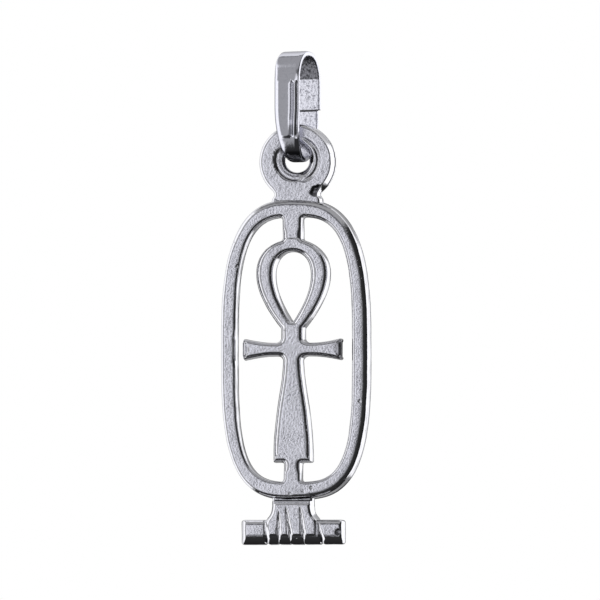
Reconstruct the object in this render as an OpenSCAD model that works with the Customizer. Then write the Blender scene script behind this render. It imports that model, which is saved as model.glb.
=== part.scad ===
// Cartouche pendant with an openwork ankh, hanging by its eye from a strap bail.
// Millimetres. +Z is up and -Y is the front. The origin is the middle of the
// underside of the bail's crown, where a neck chain would carry the pendant.

/* [Bail] */
// Outer height of the bail, crown to lowest point
bail_h = 8.15; // [7:0.05:11]
// Outer depth of the bail, front to back
bail_d = 4.05; // [3.8:0.05:5.5]
// Thickness of the bail strap
strap_t = 0.42; // [0.3:0.02:0.46]
// Width of the bail strap over the crown
strap_w = 1.98; // [1.6:0.02:2.2]
// Width of the bail strap at its lowest point, inside the eye
strap_tip_w = 1.3; // [1.1:0.02:1.36]
// How late the strap narrows, where 1 is evenly from the seam down
strap_taper = 1.4; // [1:0.1:2.2]
// Size of the bevel along the strap's outer edges
strap_bevel = 0.16; // [0.05:0.01:0.2]
// Angle by which the bail is turned to the pendant's right
bail_turn = 18; // [0:1:20]
// Height of the rounded crown of the bail
crown_h = 2.5; // [1.8:0.05:3]
// Squareness of the crown's shoulders, where 2 is an ellipse
crown_square = 2.3; // [2:0.05:2.6]
// Height of the rounded lower bow of the bail
bow_h = 3.4; // [2.8:0.1:3.6]
// Distance from the crown down to the seam in the back
seam_drop = 4.24; // [3.6:0.02:4.4]
// Open gap at the seam
seam_gap = 0.06; // [0.03:0.01:0.2]
// How far the lower end at the seam lies inside the upper one
seam_step = 0.4; // [0:0.02:0.45]

/* [Bail flute] */
// Width of the flute pressed into the front of the bail
flute_w = 0.5; // [0.3:0.02:0.7]
// Depth of the flute
flute_depth = 0.13; // [0.05:0.01:0.2]
// Distance from the crown down to the top of the flute
flute_drop = 2.2; // [1.8:0.05:3]
// Length of the flute
flute_len = 4.3; // [2.5:0.1:4.6]
// Height by which the land beside the flute stands proud
land_rise = 0.05; // [0:0.01:0.1]

/* [Eye] */
// Outer diameter of the eye
eye_d = 5.6; // [5:0.1:6.5]
// Diameter of the hole at its narrowest
throat_d = 1.92; // [1.86:0.02:2.3]
// Diameter of the rounded mouth of the hole on each face
mouth_d = 3.24; // [2.8:0.02:3.8]
// Thickness of the eye
eye_t = 1.1; // [0.9:0.05:1.15]
// Round-over of the eye's outer edge
eye_round = 0.4; // [0.2:0.02:0.5]
// Slack between the bail's inside and the middle of the eye's hole
eye_slack = 0.26; // [0.18:0.01:0.34]
// Distance of the eye's middle below the middle of its hole
eye_below_hole = 0.13; // [0:0.01:0.2]
// Sideways offset of the hole in the eye, to the left
hole_shift = 0.06; // [0:0.01:0.1]
// Width of the solder neck between the eye and the cartouche
neck_w = 3.5; // [2.6:0.1:3.8]

/* [Cartouche] */
// Outer width of the cartouche
rim_w = 11; // [10:0.1:13]
// Outer height of the cartouche
rim_h = 22; // [20:0.1:26]
// Squareness of the cartouche's upper half, where 2 is an ellipse
rim_square = 2.85; // [2.4:0.05:4]
// Squareness of its lower half
rim_square_low = 3.1; // [2.4:0.05:4]
// Squareness of the window inside it, upper half
window_square = 3.25; // [2.8:0.05:3.6]
// Squareness of the window, lower half
window_square_low = 3.6; // [3:0.05:4]
// Width of the rim, measured at the back
rim_band = 1.3; // [1.1:0.05:1.6]
// Thickness of the casting
plate_t = 1.5; // [1.3:0.05:2]
// Round-over of the rim's outer edge
rim_round = 0.5; // [0.2:0.05:0.6]
// Slope of the walls inside the openings, back to front
wall_draft = 0.24; // [0.1:0.02:0.35]
// Round-over of the sharper face edges
edge_round = 0.1; // [0.05:0.01:0.15]
// Sideways offset of the cartouche from the eye, to the left
rim_shift = 0.12; // [0:0.02:0.4]
// Sideways offset of the window from the cartouche, to the left
window_shift = 0.08; // [0:0.01:0.12]
// Depth by which the eye runs into the top of the cartouche
eye_overlap = 0.06; // [0.04:0.01:0.3]

/* [Ankh] */
// Length of the strut above the loop
top_strut = 1.6; // [1:0.1:2.5]
// Length of the strut below the stem
low_strut = 1.4; // [0.8:0.05:2.5]
// Width of both struts at the back
strut_w = 1.5; // [1.2:0.05:1.8]
// Outer width of the loop
loop_w = 5.5; // [4.6:0.1:6]
// Width of the loop's band at its sides
loop_band = 1.46; // [1.1:0.02:1.7]
// Width of the loop's band at its top
loop_top_band = 0.95; // [0.8:0.05:1.3]
// Height of the hole's pointed end above the crossbar's middle
hole_rise = 2.05; // [1.4:0.05:2.5]
// Clear gap between each arm's end and the rim
arm_gap = 0.6; // [0.3:0.05:1]
// Height of the crossbar at its ends
arm_end_h = 1.62; // [1.2:0.02:2]
// Height of the crossbar at its waist
arm_waist_h = 1.0; // [0.8:0.02:1.2]
// Width of the stem at its neck
stem_neck_w = 1.52; // [1.3:0.02:2]
// Width of the stem at its foot
stem_foot_w = 2.95; // [2.2:0.05:3.6]
// Slope of the ankh's walls, back to front
ankh_draft = 0.3; // [0.1:0.02:0.36]
// Sideways offset of the ankh from the window, to the left
ankh_shift = 0.14; // [0:0.01:0.2]

/* [Tied foot] */
// Length of the foot bar
bar_w = 7.65; // [6:0.05:9]
// Height of the foot bar
bar_h = 1.8; // [1.6:0.05:2.5]
// Round-over of the bar's lower edge
bar_round = 0.55; // [0.3:0.05:0.65]
// Distance from the cartouche down to the foot bar
tie_drop = 1.5; // [1.1:0.05:2]
// Width of the lashing under the cartouche
tie_w = 3.15; // [2.6:0.05:3.6]
// Width of the lashing across the bar
tie_foot_w = 4.1; // [3.8:0.05:5]
// Height by which the lashing stands proud of the bar
tie_rise = 0.1; // [0.05:0.01:0.2]
// Depth of the cuts that part the strands of the lashing
cut_depth = 0.42; // [0.2:0.02:0.6]
// Width of those cuts at their widest
cut_w = 0.36; // [0.2:0.02:0.5]

/* [Hidden] */

silver = "#c4c4cc";
bright_silver = "#d6d6dc";

// Round-over of the edges on the flat back
back_round = 0.08;
// Points along each outline, facets round the eye, steps of each round-over
rim_steps = 96;
loop_steps = 60;
eye_facets = 56;
arc_steps = 4;

// Heights down the pendant
bail_floor = 2 * strap_t - bail_h;
hole_z = bail_floor - eye_slack;
eye_z = hole_z - eye_below_hole;
rim_top = eye_z - eye_d / 2 + eye_overlap;
rim_z = rim_top - rim_h / 2;
rim_bottom = rim_top - rim_h;
loop_top = rim_top - rim_band - top_strut;
stem_bottom = rim_bottom + rim_band + low_strut;
bar_top = rim_bottom - tie_drop;
bar_bottom = bar_top - bar_h;

// Places across the pendant
rim_x = -rim_shift;
window_x = rim_x - window_shift;
ankh_x = window_x - ankh_shift;
arm_reach = rim_w / 2 - rim_band - arm_gap;
// The neck and the struts lie a little lower than the faces that they join
neck_t = plate_t - 0.12;
strut_t = plate_t - 0.08;

// Rows of a curve, joined into one list of points
function flat(rows) = [for (row = rows) each row];
// A number's power that keeps its sign
function signed_pow(v, p) = sign(v) * pow(abs(v), p);
// A value that eases from 0 to 1
function ease(s) = let (c = min(1, max(0, s))) c * c * (3 - 2 * c);
// Value at s in a short table of [share, value] rows
function from_table(rows, s) =
    let (k = max([for (i = [0 : len(rows) - 2]) if (i == 0 || rows[i][0] <= s) i]),
         a = rows[k], b = rows[k + 1])
    a[1] + (b[1] - a[1]) * (s - a[0]) / (b[0] - a[0]);

// Outline of a cartouche with semi-axes a and b round the point x at the rim's middle height
function cartouche(x, a, b, upper_square, lower_square) = [for (i = [0 : rim_steps - 1])
    let (t = 360 * i / rim_steps, p = 2 / (sin(t) < 0 ? lower_square : upper_square))
    [x + a * signed_pow(cos(t), p), rim_z + b * signed_pow(sin(t), p)]];

// Point at angle t of a drop that is round at its top, at 180, and pointed at its tip, at 0
function drop_point(half_w, top, tip, t) =
    let (fullness = 0.77)
    [half_w * sin(t) * abs(sin(t / 2)) / fullness, (top + tip) / 2 - (top - tip) / 2 * cos(t)];

// Closed outline drawn in by a distance, along the mitre at each of its points
function drawn_in(points, by) =
    let (n = len(points))
    [for (i = [0 : n - 1])
        let (p = points[i], a = p - points[(i + n - 1) % n], b = points[(i + 1) % n] - p,
             na = [-a[1], a[0]] / norm(a), nb = [-b[1], b[0]] / norm(b))
        p + (na + nb) / (1 + na * nb) * by];

// Wall rows [height, inset]: a vertical or sloping side, then a round-over to the face
function wall(t, draft, r) = [
    [0, back_round],
    [back_round, 0],
    each [for (i = [0 : arc_steps])
        let (a = 90 * i / arc_steps)
        [t - r + r * sin(a), draft + r - r * cos(a)]]];

// Solid laid out from rings of points, from the first ring to the last, with both ends closed
module skin(rings) {
    n = len(rings[0]);
    m = len(rings);
    sides = [for (j = [0 : m - 2], i = [0 : n - 1])
        [j * n + i, (j + 1) * n + i, (j + 1) * n + (i + 1) % n, j * n + (i + 1) % n]];
    first = [for (i = [0 : n - 1]) i];
    last = [for (i = [n - 1 : -1 : 0]) (m - 1) * n + i];
    polyhedron(points = flat(rings), faces = [first, last, each sides], convexity = 8);
}

// Endless ring laid out from sections of points, closed on itself
module hoop(sections) {
    n = len(sections[0]);
    m = len(sections);
    sides = [for (j = [0 : m - 1], i = [0 : n - 1])
        [j * n + i, j * n + (i + 1) % n, ((j + 1) % m) * n + (i + 1) % n, ((j + 1) % m) * n + i]];
    polyhedron(points = flat(sections), faces = sides, convexity = 8);
}

// Openwork ring between an outer and an inner outline, each with its own wall rows
module pierced(outer, inner, outer_wall, inner_wall) {
    outer_lines = [for (row = outer_wall) [for (p = outer(row[1])) [p[0], p[1], row[0]]]];
    inner_lines = [for (row = inner_wall) [for (p = inner(row[1])) [p[0], p[1], row[0]]]];
    lines = [each outer_lines, each [for (k = [len(inner_lines) - 1 : -1 : 0]) inner_lines[k]]];
    hoop([for (i = [0 : len(lines[0]) - 1]) [for (line = lines) line[i]]]);
}

// Solid plate with one outline and the same wall rows all round
module plate(outline, rows) {
    skin([for (row = rows) [for (p = outline(row[1])) [p[0], p[1], row[0]]]]);
}

// Stands a flat piece up: its outline lies in XZ, its back at half the casting's thickness
module upright() {
    translate([0, plate_t / 2, 0]) rotate([90, 0, 0]) children();
}

// Strut between two heights, spreading into what it joins at both ends
module strut(from_z, to_z) {
    // Share of the strut's length, share by which it is wider than at its middle
    spread = [[0, 0.9], [0.14, 0.5], [0.26, 0.16], [0.36, 0], [0.64, 0], [0.74, 0.16], [0.86, 0.5], [1, 0.9]];
    half = function (s) strut_w / 2 * (1 + from_table(spread, s));
    steps = 14;
    outline = function (inset) [
        for (i = [0 : steps]) [ankh_x - half(i / steps) + inset, to_z + (from_z - to_z) * i / steps],
        for (i = [steps : -1 : 0]) [ankh_x + half(i / steps) - inset, to_z + (from_z - to_z) * i / steps]];
    plate(outline, wall(strut_t, wall_draft, edge_round));
}

module eye() {
    back = (plate_t - eye_t) / 2;
    r_out = eye_d / 2;
    turn = 68;
    past = 0.02;
    reach = 0.5;
    // Half of the hole's side: a round wall from the throat out to the mouth, just past the face
    lip = [for (i = [0 : 5])
        let (a = turn * i / 5)
        [throat_d / 2 + (mouth_d - throat_d) / 2 * (1 - cos(a)) / (1 - cos(turn)),
         (eye_t / 2 + past) * sin(a) / sin(turn)]];
    difference() {
        translate([0, eye_z, back]) rotate_extrude($fn = eye_facets)
            polygon([[0, 0], each [for (row = wall(eye_t, 0, eye_round)) [r_out - row[1], row[0]]], [0, eye_t]]);
        translate([-hole_shift, hole_z, plate_t / 2]) rotate_extrude($fn = eye_facets)
            polygon([
                [0, -eye_t / 2 - reach],
                [mouth_d / 2, -eye_t / 2 - reach],
                each [for (i = [5 : -1 : 1]) [lip[i][0], -lip[i][1]]],
                each lip,
                [mouth_d / 2, eye_t / 2 + reach],
                [0, eye_t / 2 + reach]]);
    }
}

// Neck of metal that joins the eye to the cartouche, with the eye's hole left clear
module neck() {
    // The neck is a little narrower at the eye than at the rim, and its front edges are soft
    taper = 0.1;
    soft = 0.3;
    slab = 0.1;
    half_top = neck_w / 2 - taper;
    top_z = eye_z - sqrt(eye_d * eye_d / 4 - half_top * half_top);
    low_z = rim_top - rim_band / 2;
    hull() {
        translate([-half_top, top_z, (plate_t - eye_t) / 2]) cube([2 * half_top, slab, eye_t - slab / 2]);
        translate([-neck_w / 2, low_z, slab]) cube([neck_w, slab, neck_t - soft - slab]);
        translate([-neck_w / 2 + soft, low_z, slab]) cube([neck_w - 2 * soft, slab, neck_t - slab]);
    }
}

module rim() {
    a = rim_w / 2;
    b = rim_h / 2;
    pierced(
        function (inset) cartouche(rim_x, a - inset, b - inset, rim_square, rim_square_low),
        function (inset) cartouche(window_x, a - rim_band + inset, b - rim_band + inset,
            window_square, window_square_low),
        wall(plate_t, 0, rim_round),
        wall(plate_t, wall_draft, edge_round));
}

// Right half of the ankh's outline, from the top of the loop down to the middle of the stem's foot
function ankh_half() =
    let (
        // The loop's sides run down into a neck above the crossbar
        neck_half = 0.9, neck_rise = 1.5, fillet = 0.35, tip = rim_z + arm_waist_h / 2,
        waist = arm_waist_h / 2, end = arm_end_h / 2, stem_half = stem_neck_w / 2, foot_half = stem_foot_w / 2,
        stem_top = rim_z - waist - fillet,
        // Share of the arm's length, share of the way from the waist's height to the end's
        flare = [[0, 0], [0.25, 0.05], [0.6, 0.4], [1, 1]],
        // Share of the stem's length, share of the way from the neck's width to the foot's
        spread = [[0, 0], [0.15, 0.12], [0.5, 0.66], [0.8, 0.96], [1, 1]],
        loop_side = [for (i = [loop_steps / 2 : -1 : 1])
            let (p = drop_point(loop_w / 2, loop_top, tip, 360 * i / loop_steps))
            if (p[1] > rim_z + neck_rise) p],
        turn = [for (a = [0 : 22.5 : 90]) [cos(a), sin(a)]])
    [
        each loop_side,
        [neck_half, rim_z + neck_rise - fillet],
        each [for (q = turn) [neck_half + fillet * (1 - q[0]), rim_z + waist + fillet * (1 - q[1])]],
        each [for (i = [1 : 6]) let (s = i / 6)
            [neck_half + fillet + (arm_reach - neck_half - fillet) * s,
             rim_z + waist + (end - waist) * from_table(flare, s)]],
        each [for (i = [6 : -1 : 1]) let (s = i / 6)
            [neck_half + fillet + (arm_reach - neck_half - fillet) * s,
             rim_z - waist - (end - waist) * from_table(flare, s)]],
        each [for (i = [4 : -1 : 0]) let (q = turn[i])
            [stem_half + fillet * (1 - q[0]), rim_z - waist - fillet * (1 - q[1])]],
        each [for (i = [1 : 10]) let (s = i / 10)
            [stem_half + (foot_half - stem_half) * from_table(spread, s), stem_top + (stem_bottom - stem_top) * s]]
    ];

// Whole outline of the ankh
function ankh_outline() =
    let (half = ankh_half(), n = len(half))
    [
        each [for (p = half) [ankh_x - p[0], p[1]]],
        each [for (i = [n - 1 : -1 : 1]) [ankh_x + half[i][0], half[i][1]]]
    ];

// Ankh cut from the plate, with its walls sloping in towards the front and the drop-shaped hole through its loop
module ankh() {
    outline = ankh_outline();
    top = loop_top - loop_top_band;
    tip = rim_z + hole_rise;
    past = 0.05;
    hole = [for (i = [0 : loop_steps - 1])
        let (p = drop_point(loop_w / 2 - loop_band, top, tip, 360 * i / loop_steps)) [ankh_x + p[0], p[1]]];
    hole_rows = [
        [-past, -back_round - past],
        [back_round, 0],
        each [for (i = [0 : arc_steps - 1])
            let (a = 90 * i / arc_steps)
            [plate_t - edge_round + edge_round * sin(a), -wall_draft - edge_round * (1 - cos(a))]],
        [plate_t + past, -wall_draft - edge_round - past]];
    difference() {
        plate(function (inset) drawn_in(outline, inset), wall(plate_t, ankh_draft, edge_round));
        skin([for (row = hole_rows) [for (p = drawn_in(hole, row[1])) [p[0], p[1], row[0]]]]);
    }
}

// Bar across the foot, with a soft lower edge and round corners
module foot_bar() {
    corner_r = 0.3;
    top_r = 0.32;
    // Share of the thickness up to which the bar's upper and lower sides stand straight
    upper_side = 0.65;
    lower_side = 0.27;
    hull() for (side = [-1, 1]) {
        translate([ankh_x + side * (bar_w / 2 - corner_r), 0, 0]) {
            translate([0, bar_top - corner_r, 0]) cylinder(r = corner_r, h = plate_t * upper_side, $fn = 24);
            translate([0, bar_bottom + corner_r, 0]) cylinder(r = corner_r, h = plate_t * lower_side, $fn = 24);
        }
        translate([ankh_x + side * (bar_w / 2 - top_r), bar_top - top_r, plate_t - top_r])
            sphere(r = top_r, $fn = 24);
        translate([ankh_x + side * (bar_w / 2 - bar_round), bar_bottom + bar_round, plate_t - bar_round])
            sphere(r = bar_round, $fn = 24);
    }
}

// Lashing that ties the bar to the cartouche: a flared bundle parted by deep cuts
module lashing() {
    top = rim_bottom + rim_band / 2;
    // The strands end on the bar's rounded lower edge
    foot = bar_bottom + bar_round * 0.8;
    face = plate_t + tie_rise;
    // Share of the lashing's height, share of the way from its upper to its lower width
    fan = [[0, 0], [0.36, 0], [0.44, 0.12], [0.5, 0.35], [0.56, 0.7], [0.62, 0.92], [0.7, 1], [1, 0.96]];
    half = function (s) tie_w / 2 + (tie_foot_w - tie_w) / 2 * from_table(fan, s);
    steps = 20;
    outline = function (inset) [
        for (i = [0 : steps])
            [ankh_x - half(i / steps) + inset, top + (foot + inset - top) * i / steps],
        for (i = [steps : -1 : 0])
            [ankh_x + half(i / steps) - inset, top + (foot + inset - top) * i / steps]];
    difference() {
        plate(outline, wall(face, wall_draft, edge_round * 2));
        strand_cuts(face);
    }
}

// One tapering cut, with both of its ends running out on the face
module cut(x_top, z_top, x_low, z_low, face) {
    hull() for (end = [[x_top, z_top, 0.5], [x_low, z_low, 1]])
        translate([ankh_x + end[0], end[1], face]) scale([cut_w / 2 * end[2], cut_w / 2, cut_depth * end[2]])
            for (way = [0, 180]) rotate([way, 0, 0]) cylinder(r1 = 1, r2 = 0, h = 1, $fn = 4);
}

// The cuts fan out: a short one, three long ones and a short one
module strand_cuts(face) {
    // Share of half the lashing's width at the top and at the foot, share of the cut's height at its top
    cuts = [[-0.99, -0.93, 0.44], [-0.46, -0.49, 0.66], [-0.2, -0.06, 0.82], [0.3, 0.42, 0.84], [0.97, 1.05, 0.42]];
    low = bar_bottom + 0.1;
    high = rim_bottom - 0.35;
    for (c = cuts)
        cut(c[0] * tie_foot_w / 2, low + (high - low) * c[2], c[1] * tie_foot_w / 2, low + 0.15, face);
}

// Narrow collar between the cartouche and the lashing
module collar() {
    r = 0.2;
    below_rim = 0.22;
    proud = 0.02;
    hull() for (side = [-1, 1])
        translate([ankh_x + side * (tie_w / 2 - ankh_draft - r), rim_bottom - below_rim, plate_t - r + proud])
            sphere(r = r, $fn = 20);
}

module pendant() {
    color(silver) upright() union() {
        eye();
        neck();
        rim();
        strut(loop_top - loop_top_band / 2, rim_top - rim_band / 2);
        ankh();
        strut(rim_bottom + rim_band / 2, stem_bottom + 0.3);
        collar();
        difference() {
            foot_bar();
            strand_cuts(plate_t);
        }
        lashing();
    }
}

// Side view of the strap's outer face, as rows of [y, z], over the crown from the seam and back to it
function bail_line() =
    let (half = bail_d / 2, shoulder = strap_t - crown_h, hip = strap_t - bail_h + bow_h,
         seam = strap_t - seam_drop, low = strap_t - bail_h, steps = 14)
    [
        for (i = [0 : 3]) [half, seam + seam_gap / 2 + (shoulder - seam) * i / 4],
        for (i = [0 : 2 * steps])
            let (a = 90 * i / steps)
            [half * signed_pow(cos(a), 2 / crown_square), shoulder + crown_h * signed_pow(sin(a), 2 / crown_square)],
        for (i = [1 : 3]) [-half, shoulder + (hip - shoulder) * i / 4],
        for (i = [0 : 2 * steps - 1])
            let (a = 90 * i / steps, z = hip - bow_h * sin(a), lift = (z - low) / (seam - low))
            [-half * cos(a) - (a > 90 ? seam_step * lift * lift : 0), z],
        [half - seam_step, seam - seam_gap / 2]
    ];

// Direction of a line of points at row i
function along(line, i) =
    let (a = line[max(0, i - 1)], b = line[min(len(line) - 1, i + 1)], d = b - a)
    d / norm(d);

// Half of the strap's width at height z: full over the crown, narrower down in the eye
function half_strap(z) =
    let (low = strap_t - bail_h, start = strap_t - seam_drop, s = max(0, (start - z) / (start - low)))
    (strap_w - (strap_w - strap_tip_w) * pow(s, strap_taper)) / 2;

// Section of the strap as rows [across, in from the outer face], with the flute and the land at strength f
function strap_section(half, f) =
    let (b = strap_bevel, lip = 0.06, soft = 0.07, right = half - b - lip, left = right - flute_w)
    [
        // Inner face and the right edge
        [-half + b / 2, strap_t], [half - b / 2, strap_t], [half, strap_t - b / 2],
        [half, b], [half - b * 0.3, b * 0.3],
        // Flute and the land beside it
        [right, 0], [right - soft, flute_depth * f],
        [left + soft, flute_depth * f], [left, flute_depth * 0.35 * f], [left - soft, -land_rise * f],
        [-half + b * 2.4, -land_rise * f],
        // Wide bevel along the left edge
        [-half + b * 1.6, 0], [-half + b * 0.5, b * 0.35], [-half, b * 1.3], [-half, strap_t - b / 2]
    ];

module bail() {
    line = bail_line();
    fade = 0.25;
    top = strap_t - flute_drop;
    rings = [for (i = [0 : len(line) - 1])
        let (d = along(line, i), p = line[i], out = [d[1], -d[0]],
             front = p[0] < 0 ? 1 : 0,
             f = front * ease((top - p[1]) / fade) * ease((p[1] - top + flute_len) / fade))
        [for (q = strap_section(half_strap(p[1]), f)) [q[0], p[0] - out[0] * q[1], p[1] - out[1] * q[1]]]];
    color(bright_silver) rotate([0, 0, -bail_turn]) skin(rings);
}

bail();
pendant();
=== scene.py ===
# %% [markdown]
# # A cast silver pendant and its bail
# The real thing is small: 36 mm tall, cast in one piece, filed, tumbled and hung from a bent strap.
# Two things make it look real. Its forms are never quite sharp or quite straight, and every slope mirrors
# another part of the studio. So this lesson models soft, slightly uneven forms and then lights them well.

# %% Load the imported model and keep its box
import math

import bpy
import numpy as np
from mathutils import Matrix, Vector


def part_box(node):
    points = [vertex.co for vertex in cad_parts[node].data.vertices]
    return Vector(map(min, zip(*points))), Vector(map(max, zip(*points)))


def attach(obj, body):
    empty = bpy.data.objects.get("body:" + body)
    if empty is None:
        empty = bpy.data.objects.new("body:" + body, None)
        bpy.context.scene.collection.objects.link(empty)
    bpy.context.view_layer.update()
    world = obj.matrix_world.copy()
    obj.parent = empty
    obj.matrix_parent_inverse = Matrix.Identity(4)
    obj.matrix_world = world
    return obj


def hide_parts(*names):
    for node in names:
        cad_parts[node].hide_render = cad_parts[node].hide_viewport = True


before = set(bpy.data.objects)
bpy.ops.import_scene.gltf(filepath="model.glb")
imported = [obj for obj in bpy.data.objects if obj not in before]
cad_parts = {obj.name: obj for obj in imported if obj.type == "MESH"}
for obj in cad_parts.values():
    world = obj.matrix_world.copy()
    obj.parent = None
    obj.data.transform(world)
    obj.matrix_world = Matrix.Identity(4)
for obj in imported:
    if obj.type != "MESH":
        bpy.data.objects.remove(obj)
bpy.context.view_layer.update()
MM = 0.001
pendant_low, pendant_high = (np.array(corner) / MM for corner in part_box("pendant"))
bail_low, bail_high = (np.array(corner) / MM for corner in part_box("bail"))
print("pendant from", pendant_low.round(2), "to", pendant_high.round(2), "mm")

# %% [markdown]
# ## Camera
# The photograph was taken from far away, so its lines hardly converge. It looks from 7 degrees to the right
# of the front and from 3 degrees below. A camera could be turned by hand until the edges fit. Here it is
# worked out from those two angles, and a long lens at one metre gives the same flat view.

# %% Camera
photo_size = 600
photo_scale = 13.64  # pixels for each millimetre
photo_origin = (297.3, 57.2)  # pixel at which the crown's underside lies
camera_azimuth, camera_elevation = math.radians(7), math.radians(-3)
camera_distance = 1.0
# Ways from the object to the camera, to its right and to its top
towards = Vector((
    math.sin(camera_azimuth) * math.cos(camera_elevation),
    -math.cos(camera_azimuth) * math.cos(camera_elevation),
    math.sin(camera_elevation)))
right = Vector((math.cos(camera_azimuth), math.sin(camera_azimuth), 0))
up = towards.cross(right)
off_right, off_down = (photo_size / 2 - place for place in photo_origin)
middle = (right * off_right - up * off_down) * MM / photo_scale

lens = bpy.data.cameras.new("camera")
lens.sensor_width = 36
lens.lens = lens.sensor_width * camera_distance / (photo_size / photo_scale * MM)
lens.clip_start, lens.clip_end = 0.05, 20
camera = bpy.data.objects.new("camera", lens)
bpy.context.scene.collection.objects.link(camera)
camera.location = middle + towards * camera_distance
camera.rotation_euler = towards.to_track_quat("Z", "Y").to_euler()
bpy.context.scene.camera = camera
print("lens", round(lens.lens, 1), "mm")


def on_face(px, py, y):
    """Place in x and z, in mm, of a pixel of the photograph on the plane at depth y."""
    across = (px - photo_origin[0]) / photo_scale
    rise = (photo_origin[1] - py) / photo_scale
    x = (across - y * right.y) / right.x
    return x, (rise - x * up.x - y * up.y) / up.z


# %% [markdown]
# ## Node helpers
# Shader trees can be built by hand in the editor, but these are long and many nodes repeat. So they are
# written down, and a few helpers keep them readable: one makes a node and sets its sockets, and the others
# chain the common kinds.

# %% Node helpers
def add_node(tree, kind, label=None, settings=None, **inputs):
    """A node of that kind, with its settings and input sockets set or linked by name."""
    node = tree.nodes.new(kind)
    node.label = label or ""
    for name, value in (settings or {}).items():
        setattr(node, name, value)
    for name, value in inputs.items():
        set_socket(tree, node.inputs[name.replace("_", " ")], value)
    return node


def set_socket(tree, socket, value):
    """Links a socket to another node's output, or sets its own value."""
    if isinstance(value, bpy.types.NodeSocket):
        tree.links.new(value, socket)
    else:
        socket.default_value = value


def math_node(tree, operation, *values, clamp=False):
    """Output of a math node."""
    node = tree.nodes.new("ShaderNodeMath")
    node.operation, node.use_clamp = operation, clamp
    for socket, value in zip(node.inputs, values):
        set_socket(tree, socket, value)
    return node.outputs[0]


def remap(tree, value, low, high, to_low=0.0, to_high=1.0):
    """Output of a smooth map range node."""
    node = add_node(tree, "ShaderNodeMapRange", settings={"interpolation_type": "SMOOTHSTEP"})
    for socket, given in zip(node.inputs, (value, low, high, to_low, to_high)):
        set_socket(tree, socket, given)
    return node.outputs[0]


def vector_node(tree, operation, **inputs):
    """Output of a vector math node."""
    return add_node(tree, "ShaderNodeVectorMath", settings={"operation": operation}, **inputs).outputs[0]


print("helpers for numbers ready")


# %% Colour helpers
def mix_colour(tree, share, first, second, blend="MIX"):
    """Output of a colour mix node, whose colour sockets come after those for numbers and vectors."""
    node = add_node(tree, "ShaderNodeMix", settings={"data_type": "RGBA", "blend_type": blend})
    first_colour, second_colour, mixed_colour = 6, 7, 2
    set_socket(tree, node.inputs["Factor"], share)
    set_socket(tree, node.inputs[first_colour], first)
    set_socket(tree, node.inputs[second_colour], second)
    return node.outputs[mixed_colour]


def ramp(tree, value, stops):
    """Output of a colour ramp of grey stops, each a place and a brightness."""
    cool_tint = 1.02
    node = tree.nodes.new("ShaderNodeValToRGB")
    set_socket(tree, node.inputs[0], value)
    band = node.color_ramp
    while len(band.elements) < len(stops):
        band.elements.new(0.5)
    # A stop that is moved can change places with another, so the greys are set when all stops are in place
    for element, (place, _) in zip(band.elements, stops):
        element.position = place
    for element, (_, grey) in zip(band.elements, stops):
        element.color = (grey, grey, grey * cool_tint, 1)
    return node.outputs[0]


print("helpers for colours ready")

# %% [markdown]
# ## Studio
# Polished silver has hardly a colour of its own: it shows the room. A jewellery photographer builds that room
# out of a white tent with black cards in it, so that each edge gets a dark line beside a bright one. Lamps
# and cards could be placed round the object, but each would have to be moved many times. So the world itself
# is that tent, painted by direction: for each way that a slope can lean, right, left, up or down, a ramp says
# what it mirrors as it turns from the front round to the back. The camera itself sees plain white.

# %% Cards of the tent
# Each ramp runs from straight in front, at 0, to straight behind, at 1
tent_right = [
    (0.0, 0.97), (0.07, 0.9), (0.095, 0.24), (0.18, 0.2), (0.22, 0.03), (0.67, 0.01),
    (0.71, 1.15), (0.9, 1.1), (0.93, 0.4), (0.97, 0.12), (1.0, 0.1)]
tent_left = [
    (0.0, 0.97), (0.06, 0.99), (0.14, 1.02), (0.19, 0.36), (0.34, 0.33), (0.38, 0.9), (0.43, 1.12),
    (0.54, 1.05), (0.62, 0.78), (0.84, 0.75), (0.88, 0.1), (1.0, 0.1)]
tent_above = [
    (0.0, 0.97), (0.08, 0.92), (0.11, 0.1), (0.2, 0.1), (0.26, 0.33), (0.56, 0.33),
    (0.59, 0.15), (0.63, 0.85), (0.8, 0.5), (1.0, 0.2)]
tent_below = [
    (0.0, 0.97), (0.07, 0.9), (0.095, 0.24), (0.18, 0.2), (0.22, 0.03), (0.86, 0.01), (0.9, 0.25),
    (0.94, 0.4), (0.96, 0.15), (1.0, 0.1)]
# For each ramp, the axis and sign of its side, and how strongly it outweighs the next one where they meet
tent_sides = [
    ("X", 1, 0.85, tent_right), ("X", -1, 1.12, tent_left),
    ("Z", 1, 1.0, tent_above), ("Z", -1, 1.03, tent_below)]
print("tent of", sum(len(side[-1]) for side in tent_sides), "stops")

# %% Studio world
world = bpy.data.worlds.new("studio_tent")
bpy.context.scene.world = world
world.use_nodes = True
tent = world.node_tree
tent.nodes.clear()
direction = add_node(tent, "ShaderNodeTexCoord").outputs["Generated"]
axes = add_node(tent, "ShaderNodeSeparateXYZ", Vector=direction)
towards_front = math_node(tent, "MULTIPLY", axes.outputs["Y"], -1.0)
turn = math_node(tent, "DIVIDE", math_node(tent, "ARCCOSINE", towards_front), math.pi)
border_power = 20.0


def leaning(axis, sign, reach):
    """Weight of the side that a direction leans to along an axis, with a fairly sharp border."""
    way = math_node(tent, "MULTIPLY", axes.outputs[axis], sign * reach)
    return math_node(tent, "POWER", math_node(tent, "MAXIMUM", way, 0.0), border_power)


leans = [leaning(axis, sign, reach) for axis, sign, reach, _ in tent_sides]
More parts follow.
